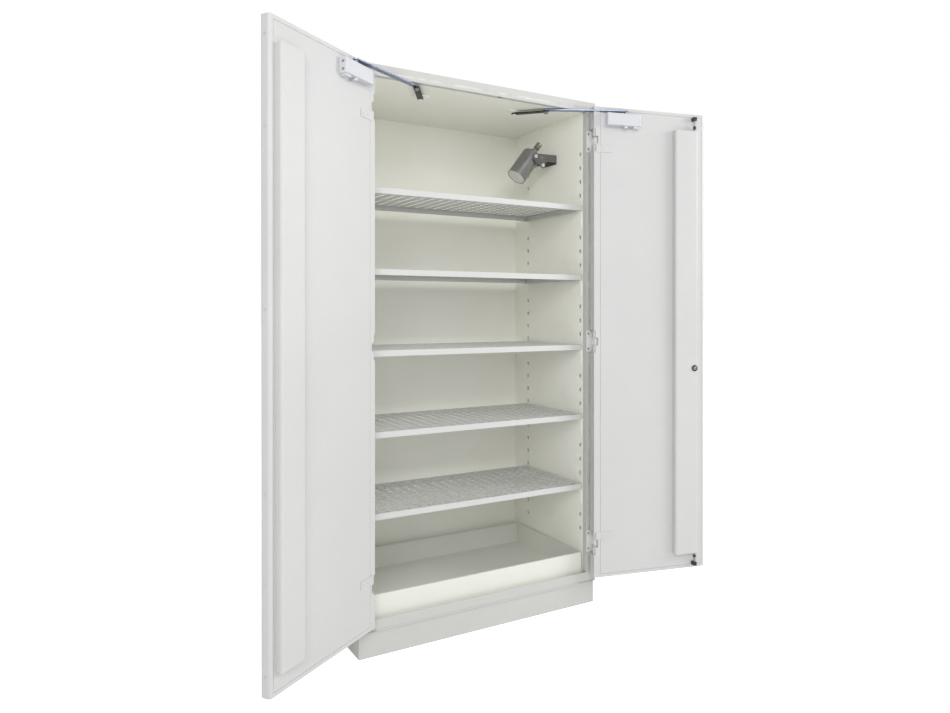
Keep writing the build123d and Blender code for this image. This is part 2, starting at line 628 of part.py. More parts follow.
# Lever handle and its spindle, turned as one.
SPINDLE_OUT_W = -DOOR_T - ROSE_T - 0.5
LEVER_L = 105.0
LEVER_T = 12.0
with BuildPart() as lock_handle:
    with BuildSketch(Plane.XZ.offset(-w_y(COVER_PROUD + 0.4))):
        with Locations((u_x(LOCK_U), LOCK_Z)):
            Circle(5)
    extrude(amount=COVER_PROUD + 0.4 - SPINDLE_OUT_W)
    with BuildSketch(Plane.XZ.offset(-w_y(SPINDLE_OUT_W))):
        with Locations((u_x(LOCK_U), LOCK_Z)):
            Circle(14)
    extrude(amount=32)
    with BuildSketch(Plane.XZ.offset(-w_y(SPINDLE_OUT_W - 20))):
        with Locations((u_x(LOCK_U - LEVER_L / 2), LOCK_Z)):
            SlotOverall(LEVER_L + 28, 20)
    extrude(amount=LEVER_T)
    fillet(lock_handle.edges().group_by(Axis.Y)[0], 3)
save(hang(lock_handle.part, "right"), "lock_handle")

# Cam that drives the rods, inside the case.
with BuildPart() as lock_cam:
    with BuildSketch(Plane.XZ.offset(-w_y(8.5))):
        with Locations((u_x(LOCK_U), LOCK_Z)):
            Circle(9)
            Circle(5, mode=Mode.SUBTRACT)
    extrude(amount=5)
save(hang(lock_cam.part, "right"), "lock_cam")

# Black end cap of the spindle on the cover.
with BuildPart() as lock_end:
    with BuildSketch(Plane.XZ.offset(-w_y(COVER_PROUD + 3.4))):
        with Locations((u_x(LOCK_U), LOCK_Z)):
            Circle(LOCK_END_R)
    extrude(amount=3)
    fillet(lock_end.edges().group_by(Axis.Y)[-1], 1)
save(hang(lock_end.part, "right"), "lock_end")

with BuildPart() as rod_upper:
    disc(u_x(ROD_U), w_y(ROD_W), ROD_R, UPPER_ROD_Z0, UPPER_ROD_Z1)
    disc(u_x(ROD_U), w_y(ROD_W), ROD_R + 2.3, STOP_Z0, STOP_Z1)
save(hang(rod_upper.part, "right"), "rod_upper")

with BuildPart() as rod_lower:
    disc(u_x(ROD_U), w_y(ROD_W), ROD_R, LOWER_ROD_Z0, LOWER_ROD_Z1)
    with Locations((u_x(ROD_U), w_y(ROD_W), BALL_Z)):
        Sphere(BALL_R)
save(hang(rod_lower.part, "right"), "rod_lower")

with BuildPart() as rod_guides:
    for z0 in (SILL_Z + 3, UPPER_ROD_Z1 - GUIDE_H - 1):
        block(u_x(ROD_U - GUIDE_HALF_U), u_x(ROD_U + GUIDE_HALF_U), w_y(0), w_y(GUIDE_T), z0, z0 + GUIDE_H)
        disc(u_x(ROD_U), w_y(ROD_W), ROD_R + 0.08, z0 - 1, z0 + GUIDE_H + 1, mode=Mode.SUBTRACT)
save(hang(rod_guides.part, "right"), "rod_guides")

# ---------------------------------------------------------------- overhead closers
OPEN_ANGLES = {"left": OPEN_LEFT, "right": OPEN_RIGHT}


def spindle_at(open_deg):
    """Centre of the closer's spindle on the left door, in plan, at an opening angle."""
    x = u_x(SPINDLE_U) + PIVOT_X
    y = w_y(SPINDLE_W) - PIVOT_Y
    turn = math.radians(-open_deg)
    return (-PIVOT_X + x * math.cos(turn) - y * math.sin(turn),
            PIVOT_Y + x * math.sin(turn) + y * math.cos(turn))


def elbow_at(open_deg):
    """Where the two arms of a closer meet, on the side towards the doors."""
    sx, sy = spindle_at(open_deg)
    dx = -SHOE_X - sx
    dy = SHOE_Y - sy
    dist = math.hypot(dx, dy)
    along = (MAIN_ARM ** 2 - FOREARM ** 2 + dist ** 2) / (2 * dist)
    off = math.sqrt(MAIN_ARM ** 2 - along ** 2)
    return (sx + (along * dx + off * dy) / dist, sy + (along * dy - off * dx) / dist)


def link(start, end, z0, eye):
    """A flat arm with round ends between two points in plan, with a boss at its start."""
    length = math.dist(start, end)
    turn = math.degrees(math.atan2(end[1] - start[1], end[0] - start[0]))
    with BuildPart() as arm:
        with BuildSketch(Plane.XY.offset(z0)) as outline:
            with Locations(Location(((start[0] + end[0]) / 2, (start[1] + end[1]) / 2, 0), (0, 0, turn))):
                SlotCenterToCenter(length, ARM_W)
            with Locations(start):
                Circle(eye, mode=Mode.SUBTRACT)
        extrude(outline.sketch, amount=ARM_T)
    return arm.part


def facing(shape, side):
    """Keep a piece drawn on the left, or mirror it to the right."""
    return shape if side == "left" else shape.mirror(Plane.YZ)


PLATE_U0 = 27.0
PLATE_T = 3.0
END_BLOCK_U0 = BODY_U1 - 30
END_BLOCK_U1 = BODY_U1 - 4
END_BLOCK_H = 7.0
BODY_BORE_Z0 = BODY_Z0 + 8
with BuildPart() as closer_body:
    block(u_x(BODY_U0), u_x(BODY_U1), w_y(0), w_y(BODY_PROUD), BODY_Z0, BODY_Z1)
    fillet(closer_body.faces().sort_by(Axis.Y)[-1].edges(), 4)
    block(u_x(PLATE_U0), u_x(BODY_U0 + 1), w_y(0), w_y(PLATE_T), BODY_Z0, BODY_Z1)
    block(u_x(END_BLOCK_U0), u_x(END_BLOCK_U1), w_y(0), w_y(BODY_PROUD - 6), BODY_Z0 - END_BLOCK_H, BODY_Z0)
    disc(u_x(SPINDLE_U), w_y(SPINDLE_W - 3), SPINDLE_R + 2, BODY_Z0 - END_BLOCK_H - 1, BODY_Z0)
    disc(u_x(SPINDLE_U), w_y(SPINDLE_W), SPINDLE_R + RUNNING_FIT, BODY_BORE_Z0, BODY_Z1 + 1, mode=Mode.SUBTRACT)
for side in ("left", "right"):
    save(hang(closer_body.part, side), "closer_body_" + side)

for side in ("left", "right"):
    spindle = spindle_at(OPEN_ANGLES[side])
    elbow = elbow_at(OPEN_ANGLES[side])
    shoe = (-SHOE_X, SHOE_Y)
    save(facing(link(spindle, elbow, ARM_Z, SPINDLE_R - 1), side), "main_arm_" + side)
    save(facing(link(shoe, elbow, FOREARM_Z, SHOE_PIN_R + RUNNING_FIT), side), "forearm_" + side)
    with BuildPart() as arm_spindle:
        disc(spindle[0], spindle[1], SPINDLE_R, BODY_BORE_Z0 + 0.5, ARM_Z)
        disc(spindle[0], spindle[1], SPINDLE_R - 1, ARM_Z, ARM_Z + ARM_T)
        with BuildSketch(Plane.XY.offset(ARM_Z + ARM_T)):
            with Locations(spindle):
                RegularPolygon(7, 6)
        extrude(amount=1.6)
    save(facing(arm_spindle.part, side), "arm_spindle_" + side)
    with BuildPart() as elbow_nut:
        with BuildSketch(Plane.XY.offset(FOREARM_Z - 7)):
            with Locations(elbow):
                RegularPolygon(8.5, 6)
        extrude(amount=7)
    save(facing(elbow_nut.part, side), "elbow_nut_" + side)

# Shoes screwed to the ceiling, each with the pin that the forearm turns on.
SHOE_W = 30.0
SHOE_L = 62.0
SHOE_T = 4.0
with BuildPart() as closer_shoes:
    for sign in (-1, 1):
        with BuildSketch(Plane.XY.offset(CEIL_Z - SHOE_T)):
            with Locations((sign * SHOE_X, SHOE_Y)):
                RectangleRounded(SHOE_L, SHOE_W, 6)
        extrude(amount=SHOE_T)
        disc(sign * SHOE_X, SHOE_Y, SHOE_PIN_R + 4, FOREARM_Z + ARM_T + 0.3, CEIL_Z - SHOE_T)
        disc(sign * SHOE_X, SHOE_Y, SHOE_PIN_R, FOREARM_Z - 0.5, CEIL_Z - SHOE_T)
        disc(sign * SHOE_X, SHOE_Y, 7.5, FOREARM_Z - 4, FOREARM_Z - 0.3)
save(closer_shoes.part, "closer_shoes")

# ---------------------------------------------------------------- canister
ARM_Y = CAN_R + 2.0
CAN_ARM_T = 3.0
BOSS_R = 9.0
BOLT_R = 4.0
BOLT_HEAD_R = 8.0
BOLT_HEAD_T = 5.0
BOLT_GRIP = 14.0
SIDE_PLAY = 0.3
AXIS_LEAN = math.radians(CAN_TILT)
CAN_DIR = (math.sin(AXIS_LEAN), 0, math.cos(AXIS_LEAN))
FACE_PLANE = Plane(origin=(CAN_FACE_X, CAN_Y, CAN_FACE_Z), x_dir=(0, 1, 0), z_dir=CAN_DIR)
CAN_PIVOT_X = CAN_FACE_X + CAN_PIVOT_ALONG * CAN_DIR[0]
CAN_PIVOT_Z = CAN_FACE_Z + CAN_PIVOT_ALONG * CAN_DIR[2]
CAN_WALL = 3.0
FACE_SINK = 4.0

with BuildPart() as canister:
    with BuildSketch(FACE_PLANE):
        Circle(CAN_R)
    extrude(amount=CAN_LENGTH)
    fillet(canister.edges().group_by(Axis.Z)[-1], 12)
    with BuildSketch(FACE_PLANE):
        Circle(CAN_R - CAN_WALL)
    extrude(amount=FACE_SINK, mode=Mode.SUBTRACT)
    with BuildSketch(Plane.XZ.offset(-CAN_Y + ARM_Y - SIDE_PLAY)):
        with Locations((CAN_PIVOT_X, CAN_PIVOT_Z)):
            Circle(BOSS_R)
    extrude(amount=-2 * (ARM_Y - SIDE_PLAY))
    with BuildSketch(Plane.XZ.offset(-CAN_Y + ARM_Y)):
        with Locations((CAN_PIVOT_X, CAN_PIVOT_Z)):
            Circle(BOLT_R + RUNNING_FIT)
    extrude(amount=-2 * ARM_Y, mode=Mode.SUBTRACT)
save(canister.part, "canister")

with BuildPart() as canister_face:
    with BuildSketch(FACE_PLANE.offset(FACE_SINK - 3)):
        Circle(CAN_R - CAN_WALL - 0.2)
    extrude(amount=3)
save(canister_face.part, "canister_face")

# Valve in line with the canister: a square-shouldered neck, a collar and a slotted outlet tube.
NECK_R = 15.0
NECK_L = 16.0
COLLAR_R = 8.0
COLLAR_L = 14.0
OUTLET_R = 12.5
OUTLET_L = 26.0
OUTLET_BORE_R = 9.0
OUTLET_SLOT = 6.0
with BuildPart() as canister_actuator:
    with BuildSketch(FACE_PLANE.offset(CAN_LENGTH)):
        Circle(NECK_R)
    extrude(amount=NECK_L)
    with BuildSketch(FACE_PLANE.offset(CAN_LENGTH + NECK_L)):
        Circle(COLLAR_R)
    extrude(amount=COLLAR_L)
    with BuildSketch(FACE_PLANE.offset(CAN_LENGTH + NECK_L + COLLAR_L)):
        Circle(OUTLET_R)
    extrude(amount=OUTLET_L)
    with BuildSketch(FACE_PLANE.offset(CAN_LENGTH + NECK_L + COLLAR_L + 6)):
        Circle(OUTLET_BORE_R)
    extrude(amount=OUTLET_L, mode=Mode.SUBTRACT)
    with BuildSketch(FACE_PLANE.offset(CAN_LENGTH + NECK_L + COLLAR_L + 12)):
        Rectangle(3 * OUTLET_R, OUTLET_SLOT)
    extrude(amount=OUTLET_L, mode=Mode.SUBTRACT)
save(canister_actuator.part, "canister_actuator")

# Bracket: two arms folded from a plate on the wall, each with a lug below for the cross bolt.
ARM_TOP_Z = 1815.0
ARM_LOW_Z = 1784.0
ARM_END_X = 337.0
STRAP_X = 384.0
STRAP_Z = 1766.0
LUG_HALF = 12.0
with BuildPart() as canister_bracket:
    block(OPEN_HALF - CAN_ARM_T, OPEN_HALF, CAN_Y - ARM_Y - CAN_ARM_T, CAN_Y + ARM_Y + CAN_ARM_T,
          ARM_LOW_Z - 6, ARM_TOP_Z)
    for y0 in (CAN_Y - ARM_Y - CAN_ARM_T, CAN_Y + ARM_Y):
        with BuildSketch(Plane.XZ.offset(-y0)):
            with BuildLine():
                Polyline((OPEN_HALF - 1, ARM_TOP_Z), (ARM_END_X + 5, ARM_TOP_Z - 2),
                         (ARM_END_X, ARM_TOP_Z - 8), (ARM_END_X, ARM_LOW_Z + 3),
                         (ARM_END_X + 6, ARM_LOW_Z - 3), (STRAP_X - LUG_HALF, STRAP_Z),
                         (STRAP_X - 5, STRAP_Z - LUG_HALF + 1), (STRAP_X + 5, STRAP_Z - LUG_HALF + 1),
                         (STRAP_X + LUG_HALF, STRAP_Z), (STRAP_X + LUG_HALF + 4, ARM_LOW_Z),
                         (OPEN_HALF - 1, ARM_LOW_Z), close=True)
            make_face()
            with Locations((CAN_PIVOT_X, CAN_PIVOT_Z), (STRAP_X, STRAP_Z)):
                Circle(BOLT_R + RUNNING_FIT, mode=Mode.SUBTRACT)
            with Locations((STRAP_X, CAN_PIVOT_Z)):
                Circle(BOLT_R, mode=Mode.SUBTRACT)
        extrude(amount=-CAN_ARM_T)
save(canister_bracket.part, "canister_bracket")

# Pivot bolts into the canister and the cross bolt that braces the two arms.
with BuildPart() as canister_bolts:
    for sign in (-1, 1):
        outer = CAN_Y + sign * (ARM_Y + CAN_ARM_T)
        with BuildSketch(Plane.XZ.offset(-outer)):
            with Locations((CAN_PIVOT_X, CAN_PIVOT_Z), (STRAP_X, STRAP_Z)):
                Circle(BOLT_HEAD_R)
        extrude(amount=-sign * BOLT_HEAD_T)
        with BuildSketch(Plane.XZ.offset(-outer)):
            with Locations((CAN_PIVOT_X, CAN_PIVOT_Z)):
                Circle(BOLT_R)
        extrude(amount=sign * (CAN_ARM_T + BOLT_GRIP))
    with BuildSketch(Plane.XZ.offset(-CAN_Y + ARM_Y + CAN_ARM_T)):
        with Locations((STRAP_X, STRAP_Z)):
            Circle(BOLT_R)
    extrude(amount=-2 * (ARM_Y + CAN_ARM_T))
save(canister_bolts.part, "canister_bolts")
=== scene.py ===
import json
import math

import bmesh
import bpy
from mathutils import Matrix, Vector


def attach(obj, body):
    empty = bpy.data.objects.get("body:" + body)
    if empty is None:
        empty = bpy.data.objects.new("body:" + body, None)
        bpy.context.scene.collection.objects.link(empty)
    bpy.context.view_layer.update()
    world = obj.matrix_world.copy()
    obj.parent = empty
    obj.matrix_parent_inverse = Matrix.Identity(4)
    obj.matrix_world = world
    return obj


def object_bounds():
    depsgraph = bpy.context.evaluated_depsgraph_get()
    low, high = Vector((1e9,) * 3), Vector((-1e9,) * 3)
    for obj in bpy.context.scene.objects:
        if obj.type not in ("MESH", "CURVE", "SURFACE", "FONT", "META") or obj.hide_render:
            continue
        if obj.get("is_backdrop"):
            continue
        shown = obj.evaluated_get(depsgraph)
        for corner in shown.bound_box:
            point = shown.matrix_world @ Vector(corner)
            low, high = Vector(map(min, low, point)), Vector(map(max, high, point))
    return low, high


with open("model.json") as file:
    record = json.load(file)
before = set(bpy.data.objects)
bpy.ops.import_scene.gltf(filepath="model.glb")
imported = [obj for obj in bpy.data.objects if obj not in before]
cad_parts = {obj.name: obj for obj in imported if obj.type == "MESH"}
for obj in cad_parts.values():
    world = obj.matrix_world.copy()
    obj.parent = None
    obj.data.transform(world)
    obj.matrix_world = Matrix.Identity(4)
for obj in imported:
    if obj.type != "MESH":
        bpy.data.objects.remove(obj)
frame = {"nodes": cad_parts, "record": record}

CAD_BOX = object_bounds()
NODES = frame["nodes"]
MM = 0.001

# ---------------------------------------------------------------- camera
# Place in metres, turns in degrees, lens and sensor in millimetres.
CAMERA_AT = (-1.3449, -2.5433, 1.1616)
CAMERA_TURN = -29.727
CAMERA_TILT = 89.886
LENS = 27.306
SENSOR_WIDTH = 36.0
SHIFT_Y = -0.0464
FAR_CLIP = 100.0

camera_data = bpy.data.cameras.new("camera")
camera_data.sensor_width = SENSOR_WIDTH
camera_data.lens = LENS
camera_data.shift_y = SHIFT_Y
camera_data.clip_end = FAR_CLIP
camera = bpy.data.objects.new("camera", camera_data)
camera.location = CAMERA_AT
camera.rotation_euler = (math.radians(CAMERA_TILT), 0, math.radians(CAMERA_TURN))
bpy.context.scene.collection.objects.link(camera)
bpy.context.scene.camera = camera


# ---------------------------------------------------------------- node helpers
# Noise values mostly lie between these two.
NOISE_LOW = 0.3
NOISE_HIGH = 0.7


class Shader:
    """A material with its Principled shader and short ways to add nodes to it."""

    def __init__(self, name):
        self.material = bpy.data.materials.new(name)
        self.material.use_nodes = True
        self.tree = self.material.node_tree
        self.bsdf = self.tree.nodes["Principled BSDF"]
        self.coords = self.tree.nodes.new("ShaderNodeTexCoord").outputs["Object"]

    def link(self, source, target):
        self.tree.links.new(source, target)

    def noise(self, scale, detail=3.0, rough=0.5, stretch=None):
        """A noise value over object coordinates, stretched along an axis if asked."""
        node = self.tree.nodes.new("ShaderNodeTexNoise")
        node.inputs["Scale"].default_value = scale
        node.inputs["Detail"].default_value = detail
        node.inputs["Roughness"].default_value = rough
        source = self.coords
        if stretch:
            mapping = self.tree.nodes.new("ShaderNodeMapping")
            mapping.inputs["Scale"].default_value = stretch
            self.link(self.coords, mapping.inputs["Vector"])
            source = mapping.outputs["Vector"]
        self.link(source, node.inputs["Vector"])
        return node.outputs["Fac"]

    def voronoi(self, scale):
        node = self.tree.nodes.new("ShaderNodeTexVoronoi")
        node.inputs["Scale"].default_value = scale
        self.link(self.coords, node.inputs["Vector"])
        return node.outputs["Distance"]

    def ramp(self, source, stops):
        """A colour ramp; each stop is a position and an RGB colour."""
        node = self.tree.nodes.new("ShaderNodeValToRGB")
        while len(node.color_ramp.elements) > 1:
            node.color_ramp.elements.remove(node.color_ramp.elements[-1])
        node.color_ramp.elements[0].position = stops[0][0]
        node.color_ramp.elements[0].color = (*stops[0][1], 1)
        for position, colour in stops[1:]:
            node.color_ramp.elements.new(position).color = (*colour, 1)
        self.link(source, node.inputs["Fac"])
        return node.outputs["Color"]

    def spread(self, source, low, high):
        """A noise value mapped from its usual span to low-high."""
        node = self.tree.nodes.new("ShaderNodeMapRange")
        node.inputs["From Min"].default_value = NOISE_LOW
        node.inputs["From Max"].default_value = NOISE_HIGH
        node.inputs["To Min"].default_value = low
        node.inputs["To Max"].default_value = high
        self.link(source, node.inputs["Value"])
        return node.outputs["Result"]

    def mix(self, factor, first, second):
        """Two colours mixed by a plain factor."""
        node = self.tree.nodes.new("ShaderNodeMix")
        node.data_type = "RGBA"
        node.inputs["Factor"].default_value = factor
        self.link(first, node.inputs[6])
        self.link(second, node.inputs[7])
        return node.outputs[2]

    def add(self, first, second, share):
        """first + second * share."""
        node = self.tree.nodes.new("ShaderNodeMath")
        node.operation = "MULTIPLY_ADD"
        self.link(second, node.inputs[0])
        node.inputs[1].default_value = share
        self.link(first, node.inputs[2])
        return node.outputs["Value"]

    def bump(self, source, strength, distance):
        node = self.tree.nodes.new("ShaderNodeBump")
        node.inputs["Strength"].default_value = strength
        node.inputs["Distance"].default_value = distance
        self.link(source, node.inputs["Height"])
        self.link(node.outputs["Normal"], self.bsdf.inputs["Normal"])

    def finish(self, colour, roughness):
        self.link(colour, self.bsdf.inputs["Base Color"])
        self.link(roughness, self.bsdf.inputs["Roughness"])
        return self.material


def shade(colour, factor):
    """A colour made lighter or darker."""
    return tuple(min(1.0, c * factor) for c in colour)


SATIN_SHINE = 0.45


def powder_coat(name, colour, rough=(0.34, 0.46), peel=0.10, dust=0.03):
    """Satin powder coat: fine orange peel, faint blotches and a little dust."""
    s = Shader(name)
    blotch = s.noise(2.2, detail=4.0, rough=0.6)
    grain = s.noise(60.0, detail=2.0)
    base = s.ramp(blotch, ((NOISE_LOW, shade(colour, 1 - dust)), (NOISE_HIGH, shade(colour, 1 + dust / 2))))
    speckle = s.ramp(grain, ((0.35, shade(colour, 0.9)), (0.65, shade(colour, 1.05))))
    base = s.mix(0.05, base, speckle)
    fine = s.noise(420.0, detail=2.0)
    wavy = s.noise(95.0, detail=1.0, rough=0.4)
    s.bump(s.add(fine, wavy, share=1.2), strength=peel, distance=0.0006)
    s.bsdf.inputs["Specular IOR Level"].default_value = SATIN_SHINE
    return s.finish(base, s.spread(s.noise(14.0), *rough))


def worked_metal(name, colour, rough=(0.25, 0.4), stretch=(1, 1, 14)):
    """Metal with brushed lines along one axis, small stains and fine scratches."""
    s = Shader(name)
    lines = s.noise(160.0, rough=0.6, stretch=stretch)
    stain = s.noise(24.0, detail=4.0, rough=0.6)
    base = s.ramp(lines, ((NOISE_LOW, shade(colour, 0.82)), (NOISE_HIGH, shade(colour, 1.12))))
    stains = s.ramp(stain, ((0.35, shade(colour, 0.7)), (0.65, shade(colour, 1.08))))
    base = s.mix(0.25, base, stains)
    scratches = s.noise(900.0, detail=2.0)
    s.bump(s.add(lines, scratches, share=0.5), strength=0.12, distance=0.0004)
    s.bsdf.inputs["Metallic"].default_value = 1.0
    return s.finish(base, s.spread(stain, *rough))


def moulded(name, colour, rough=(0.4, 0.55), grain=700.0):
    """Moulded plastic or rubber with a fine spark-eroded grain."""
    s = Shader(name)
    cell = s.voronoi(grain)
    base = s.ramp(s.noise(18.0), ((NOISE_LOW, shade(colour, 0.85)), (NOISE_HIGH, shade(colour, 1.15))))
    s.bump(s.add(cell, s.noise(grain * 0.4, detail=2.0), share=0.6), strength=0.2, distance=0.0004)
    return s.finish(base, s.spread(s.noise(30.0), *rough))


def board(name, colour):
    """Mineral board: chalky, pitted and flecked."""
    s = Shader(name)
    flecks = s.voronoi(160.0)
    chalk = s.noise(40.0, detail=5.0, rough=0.7)
    base = s.ramp(chalk, ((NOISE_LOW, shade(colour, 0.86)), (NOISE_HIGH, shade(colour, 1.04))))
    base = s.mix(0.3, base, s.ramp(flecks, ((0.1, shade(colour, 0.75)), (0.5, colour))))
    s.bump(s.noise(300.0, detail=6.0, rough=0.7), strength=0.5, distance=0.001)
    return s.finish(base, s.spread(s.noise(25.0), 0.8, 0.95))


CASING = (0.53, 0.53, 0.51)
DOOR = (0.565, 0.57, 0.562)
CREAM = (0.90, 0.90, 0.825)
MATERIALS = {
    "casing_white": powder_coat("casing_white", CASING),
    "door_white": powder_coat("door_white", DOOR),
    "liner_cream": powder_coat("liner_cream", CREAM, rough=(0.42, 0.55)),
    "tray_white": powder_coat("tray_white", (0.72, 0.73, 0.67), rough=(0.4, 0.5)),
    "shelf_white": powder_coat("shelf_white", (0.58, 0.585, 0.57), rough=(0.4, 0.5)),
    "fire_board": board("fire_board", (0.80, 0.79, 0.75)),
    "seal_grey": moulded("seal_grey", (0.56, 0.56, 0.54), rough=(0.6, 0.75)),
    "hinge_steel": powder_coat("hinge_steel", (0.74, 0.745, 0.735), rough=(0.32, 0.42)),
    "plug_grey": moulded("plug_grey", (0.55, 0.56, 0.56)),
    "closer_white": powder_coat("closer_white", (0.60, 0.605, 0.635), rough=(0.28, 0.38), peel=0.06),
    "arm_blue_steel": worked_metal("arm_blue_steel", (0.30, 0.34, 0.46), rough=(0.3, 0.42),
                                   stretch=(1, 14, 1)),
    "arm_black": powder_coat("arm_black", (0.012, 0.012, 0.014), rough=(0.35, 0.5), dust=0.2),
    "zinc_steel": worked_metal("zinc_steel", (0.30, 0.305, 0.31), rough=(0.34, 0.48)),
    "black_plastic": moulded("black_plastic", (0.018, 0.018, 0.018)),
    "lock_metal": worked_metal("lock_metal", (0.55, 0.56, 0.57)),
    "stainless": worked_metal("stainless", (0.34, 0.34, 0.343), rough=(0.27, 0.36), stretch=(12, 12, 1)),
    "face_plastic": moulded("face_plastic", (0.78, 0.78, 0.75), rough=(0.3, 0.4), grain=900.0),
    "valve_metal": worked_metal("valve_metal", (0.34, 0.335, 0.32), rough=(0.28, 0.4)),
    "bracket_steel": worked_metal("bracket_steel", (0.21, 0.21, 0.215), rough=(0.34, 0.46)),
    "bolt_zinc": worked_metal("bolt_zinc", (0.80, 0.80, 0.79), rough=(0.22, 0.32)),
}

for part in frame["record"]["subparts"]:
    node = NODES[part["node"]]
    node.data.materials.clear()
    node.data.materials.append(MATERIALS[part["material_slot"]])


# ---------------------------------------------------------------- small pieces
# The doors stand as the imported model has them: each turned about its hinge from closed.
HINGE_X = 480.0
HINGE_Y = -308.0
HINGE_EDGE = 17.0
INNER_FACE = 22.0
OPEN_DEGREES = {"left": 146.2, "right": 166.5}
SIGN = {"left": -1, "right": 1}


def door_axes(side):
    """An open door's directions: from hinge edge to free edge, and out of the inner face."""
    turn = math.radians(OPEN_DEGREES[side])
    along = Vector((-SIGN[side] * math.cos(turn), -math.sin(turn), 0))
    out = Vector((-SIGN[side] * math.sin(turn), math.cos(turn), 0))
    return along, out


def on_door(side, u, w, z):
    """A point on an open door in metres, from mm: u from hinge edge, w off inner face, z up."""
    along, out = door_axes(side)
    pivot = Vector((SIGN[side] * HINGE_X, HINGE_Y, 0))
    return (pivot + along * (u - HINGE_EDGE) + out * (w + INNER_FACE) + Vector((0, 0, z))) * MM


LATHE_FACES = 28
SHARP_ANGLE = math.radians(35)
HEXAGON_SECTOR = math.pi / 6


def hexagon_reach(angle, radius):
    """How far a hexagon's edge lies from its middle at an angle, for a corner radius."""
    return radius * math.cos(HEXAGON_SECTOR) / math.cos((angle % (2 * HEXAGON_SECTOR)) - HEXAGON_SECTOR)


def lathe(name, at, direction, profile, slot, body, socket=None):
    """A turned piece: rings of radius and height in mm about an axis.

    A socket is a hexagon of corner radius and depth, sunk into the last ring.
    """
    mesh = bmesh.new()
    rings = []
    levels = [(radius, height, False) for radius, height in profile]
    if socket:
        corner_radius, depth = socket
        top = profile[-1][1]
        levels += [(corner_radius, top, True), (corner_radius, top - depth, True)]
    for radius, height, hexagonal in levels:
        ring = []
        for step in range(LATHE_FACES):
            angle = 2 * math.pi * step / LATHE_FACES
            reach = hexagon_reach(angle, radius) if hexagonal else radius
            corner = Vector((reach * math.cos(angle), reach * math.sin(angle), height))
            ring.append(mesh.verts.new(corner * MM))
        rings.append(ring)
    for lower, upper in zip(rings, rings[1:]):
        for step in range(LATHE_FACES):
            after = (step + 1) % LATHE_FACES
            mesh.faces.new((lower[step], lower[after], upper[after], upper[step]))
    mesh.faces.new(rings[-1])
    mesh.faces.new(rings[0][::-1])
    data = bpy.data.meshes.new(name)
    bmesh.ops.recalc_face_normals(mesh, faces=mesh.faces)
    mesh.to_mesh(data)
    mesh.free()
    for face in data.polygons:
        face.use_smooth = True
    data.set_sharp_from_angle(angle=SHARP_ANGLE)
    data.materials.append(MATERIALS[slot])
    piece = bpy.data.objects.new(name, data)
    piece.location = at
    piece.rotation_euler = Vector(direction).to_track_quat("Z", "Y").to_euler()
    bpy.context.scene.collection.objects.link(piece)
    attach(piece, body)


def screw(name, at, direction, radius, height, body):
    """A low zinc screw head with a hexagon socket, sunk a little into the face it sits on."""
    rim = (radius, height * 0.3)
    shoulder = (radius * 0.9, height * 0.8)
    crown = (radius * 0.72, height)
    socket = (radius * 0.48, height * 0.8 + 0.4)
    lathe(name, at, direction, ((radius, -0.6), rim, shoulder, crown), "zinc_steel", body, socket)


# Screws in the frame leaves of the hinges, nearly flush so that the closed doors clear them.
HINGE_LEVELS = (249.0, 1042.0, 1833.0)
LEAF_SCREW_X = 464.0
LEAF_SCREW_RISE = 30.0
LEAF_SCREW_R = 4.0
LEAF_SCREW_HEIGHT = 0.2
LEAF_FACE_Y = -283.0
FORWARD = (0, -1, 0)
for side in ("left", "right"):
    for number, level in enumerate(HINGE_LEVELS):
        for end, rise in (("low", -LEAF_SCREW_RISE), ("high", LEAF_SCREW_RISE)):
            where = Vector((SIGN[side] * LEAF_SCREW_X, LEAF_FACE_Y, level + rise)) * MM
            name = "leaf_screw_%s_%d_%s" % (side, number + 1, end)
            screw(name, where, FORWARD, LEAF_SCREW_R, LEAF_SCREW_HEIGHT, "cabinet")

# Screws in the end faces of the closers.
CLOSER_END_U = 190.0
CLOSER_MID_W = 14.0
CLOSER_MID_Z = 1913.0
CLOSER_SCREW_RISE = 12.0
CLOSER_SCREW_R = 4.2
CLOSER_SCREW_HEIGHT = 1.2
for side in ("left", "right"):
    along = door_axes(side)[0]
    for end, rise in (("low", -CLOSER_SCREW_RISE), ("high", CLOSER_SCREW_RISE)):
        where = on_door(side, CLOSER_END_U, CLOSER_MID_W, CLOSER_MID_Z + rise)
        name = "closer_screw_%s_%s" % (side, end)
        screw(name, where, along, CLOSER_SCREW_R, CLOSER_SCREW_HEIGHT, "door_" + side)

# Keyed disc in the black cap over the lock's spindle.
CAP_W = 25.4
LOCK_U = 435.0
LOCK_Z = 930.0
KEY_DISC_PROFILE = ((6.2, -0.5), (6.2, 0.5), (5.6, 0.9), (4.4, 0.9))
KEY_SOCKET = (3.2, 1.3)
lathe("lock_key_disc", on_door("right", LOCK_U, CAP_W, LOCK_Z), door_axes("right")[1],
      KEY_DISC_PROFILE, "lock_metal", "lock_handle", KEY_SOCKET)

# Black stops on the lock's rods, each a turned collar or ball.
ROD_U = 440.0
ROD_W = 14.0
COLLAR_Z = 1899.0
BALL_Z = 166.0
UP = (0, 0, 1)
COLLAR_PROFILE = ((3.2, -0.4), (5.4, -0.1), (5.9, 1.0), (5.9, 11.0), (5.4, 12.1), (3.2, 12.4))
BALL_PROFILE = ((3.2, -5.6), (5.0, -4.1), (6.2, -1.8), (6.4, 0.0), (6.2, 1.8), (5.0, 4.1), (3.2, 5.6))
lathe("rod_stop_upper", on_door("right", ROD_U, ROD_W, COLLAR_Z), UP,
      COLLAR_PROFILE, "black_plastic", "rod_upper")
lathe("rod_stop_lower", on_door("right", ROD_U, ROD_W, BALL_Z), UP,
      BALL_PROFILE, "black_plastic", "rod_lower")

